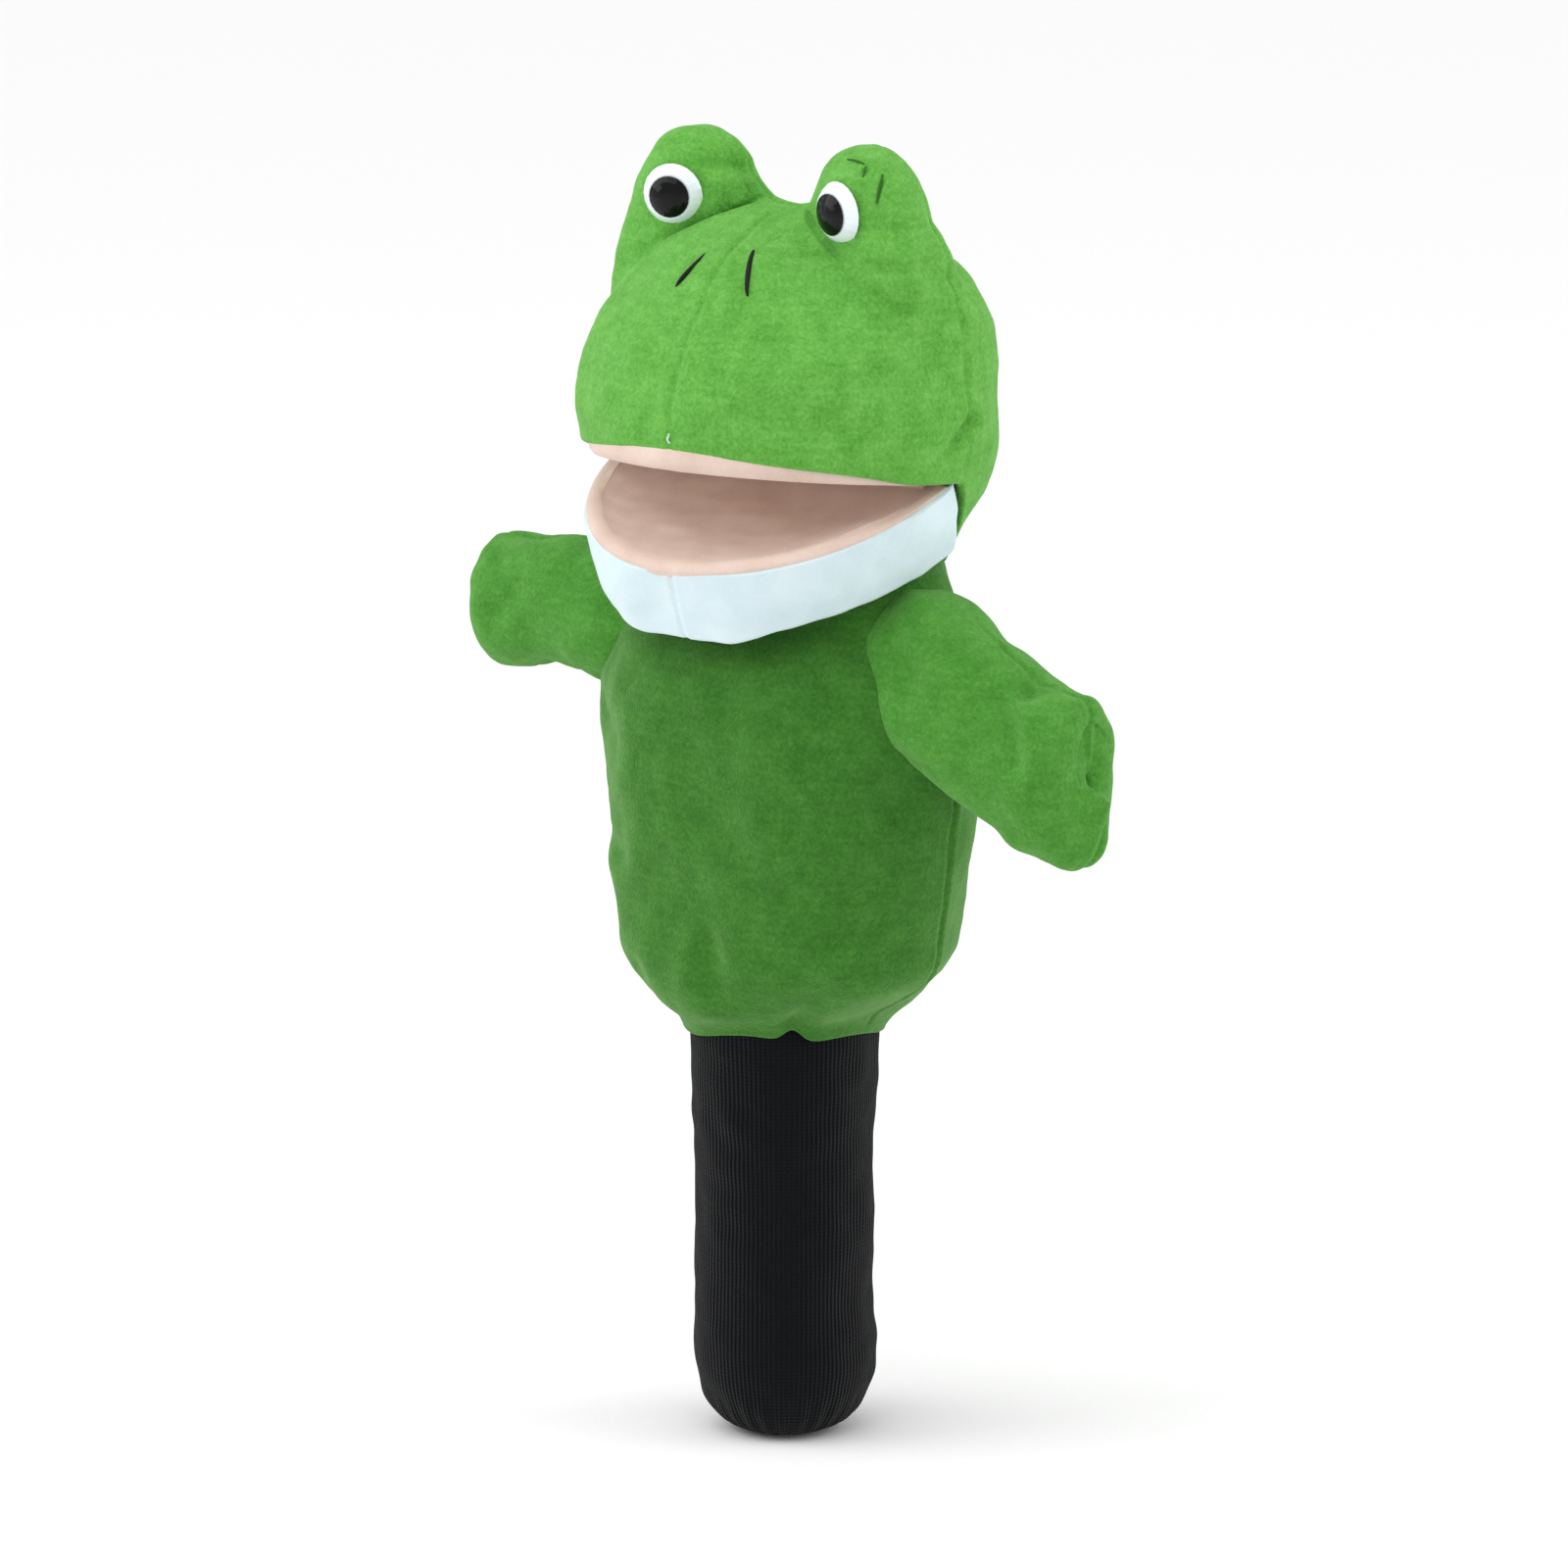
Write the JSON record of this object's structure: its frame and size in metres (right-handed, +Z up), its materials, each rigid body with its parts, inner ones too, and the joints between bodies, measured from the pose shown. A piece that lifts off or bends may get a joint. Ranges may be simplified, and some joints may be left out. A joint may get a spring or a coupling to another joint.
{
  "type": "hand puppet",
  "caption": "Plush frog hand puppet with an opening mouth, dome eyes, stuffed arms and a black knitted sleeve.",
  "frame": {"origin": "centre of the sleeve's drawn-in hand opening, on the plane of its rim", "axes": "+Z up the sleeve towards the head, the frog faces -Y, the frog's own left is +X"},
  "size_m": [0.2219, 0.116, 0.3793],
  "materials": {
    "rib_knit": "black fine rib knit",
    "elastic": "elastic braid",
    "plush_body": "short pile plush, green",
    "plush_head": "short pile plush, light green",
    "plush_white": "short smooth fleece, cool white",
    "mouth_cloth": "soft beige lining cloth",
    "lining": "plain woven lining",
    "filling": "polyester fibre filling",
    "board": "stiffener board",
    "eye_white": "glossy moulded plastic",
    "eye_black": "glossy moulded plastic",
    "washer": "matt moulded plastic",
    "thread": "embroidery thread"
  },
  "bodies": {
    "sleeve": {"sleeve_outer_layer": "rib_knit", "sleeve_inner_layer": "rib_knit", "cuff_elastic": "elastic"},
    "torso": {"body_front_panel": "plush_body", "body_back_panel": "plush_body", "body_lining": "lining"},
    "head": {"muzzle_left_panel": "plush_head", "muzzle_right_panel": "plush_head", "head_back_left_panel": "plush_head", "head_back_right_panel": "plush_head", "eye_bump_left": "plush_head", "eye_bump_right": "plush_head", "bump_filling_left": "filling", "bump_filling_right": "filling", "eye_dome_left": "eye_white", "eye_dome_right": "eye_white", "eye_pupil_left": "eye_black", "eye_pupil_right": "eye_black", "eye_washer_left": "washer", "eye_washer_right": "washer", "nostril_stitch_left": "thread", "nostril_stitch_right": "thread", "muzzle_filling": "filling", "finger_pocket": "lining", "palate_cloth": "mouth_cloth", "palate_board": "board", "mouth_fold": "mouth_cloth", "cheek_gusset_left": "plush_head", "cheek_gusset_right": "plush_head"},
    "jaw": {"chin_band_left": "plush_white", "chin_band_right": "plush_white", "tongue_cloth": "mouth_cloth", "tongue_board": "board", "thumb_pocket": "lining"},
    "arm_left": {"arm_left_front_panel": "plush_head", "arm_left_back_panel": "plush_head", "arm_left_filling": "filling"},
    "arm_right": {"arm_right_front_panel": "plush_head", "arm_right_back_panel": "plush_head", "arm_right_filling": "filling"}
  },
  "joints": [
    {"name": "wrist_bend", "type": "hinge", "parent": "sleeve", "child": "torso", "pos_m": [0, 0, 0.124], "axis": [1, 0, 0], "range_deg": [-12, 12]},
    {"name": "head_nod", "type": "hinge", "parent": "torso", "child": "head", "pos_m": [0, 0, 0.258], "axis": [1, 0, 0], "range_deg": [-16, 5]},
    {"name": "jaw_open", "type": "hinge", "parent": "head", "child": "jaw", "pos_m": [0, 0, 0.283], "axis": [1, 0, 0], "range_deg": [-24, 7]},
    {"name": "arm_left_lift", "type": "hinge", "parent": "torso", "child": "arm_left", "pos_m": [0.056, -0.003, 0.225], "axis": [0, -1, 0], "range_deg": [-4, 55]},
    {"name": "arm_right_lift", "type": "hinge", "parent": "torso", "child": "arm_right", "pos_m": [-0.056, -0.003, 0.225], "axis": [0, 1, 0], "range_deg": [-26, 34]}
  ]
}
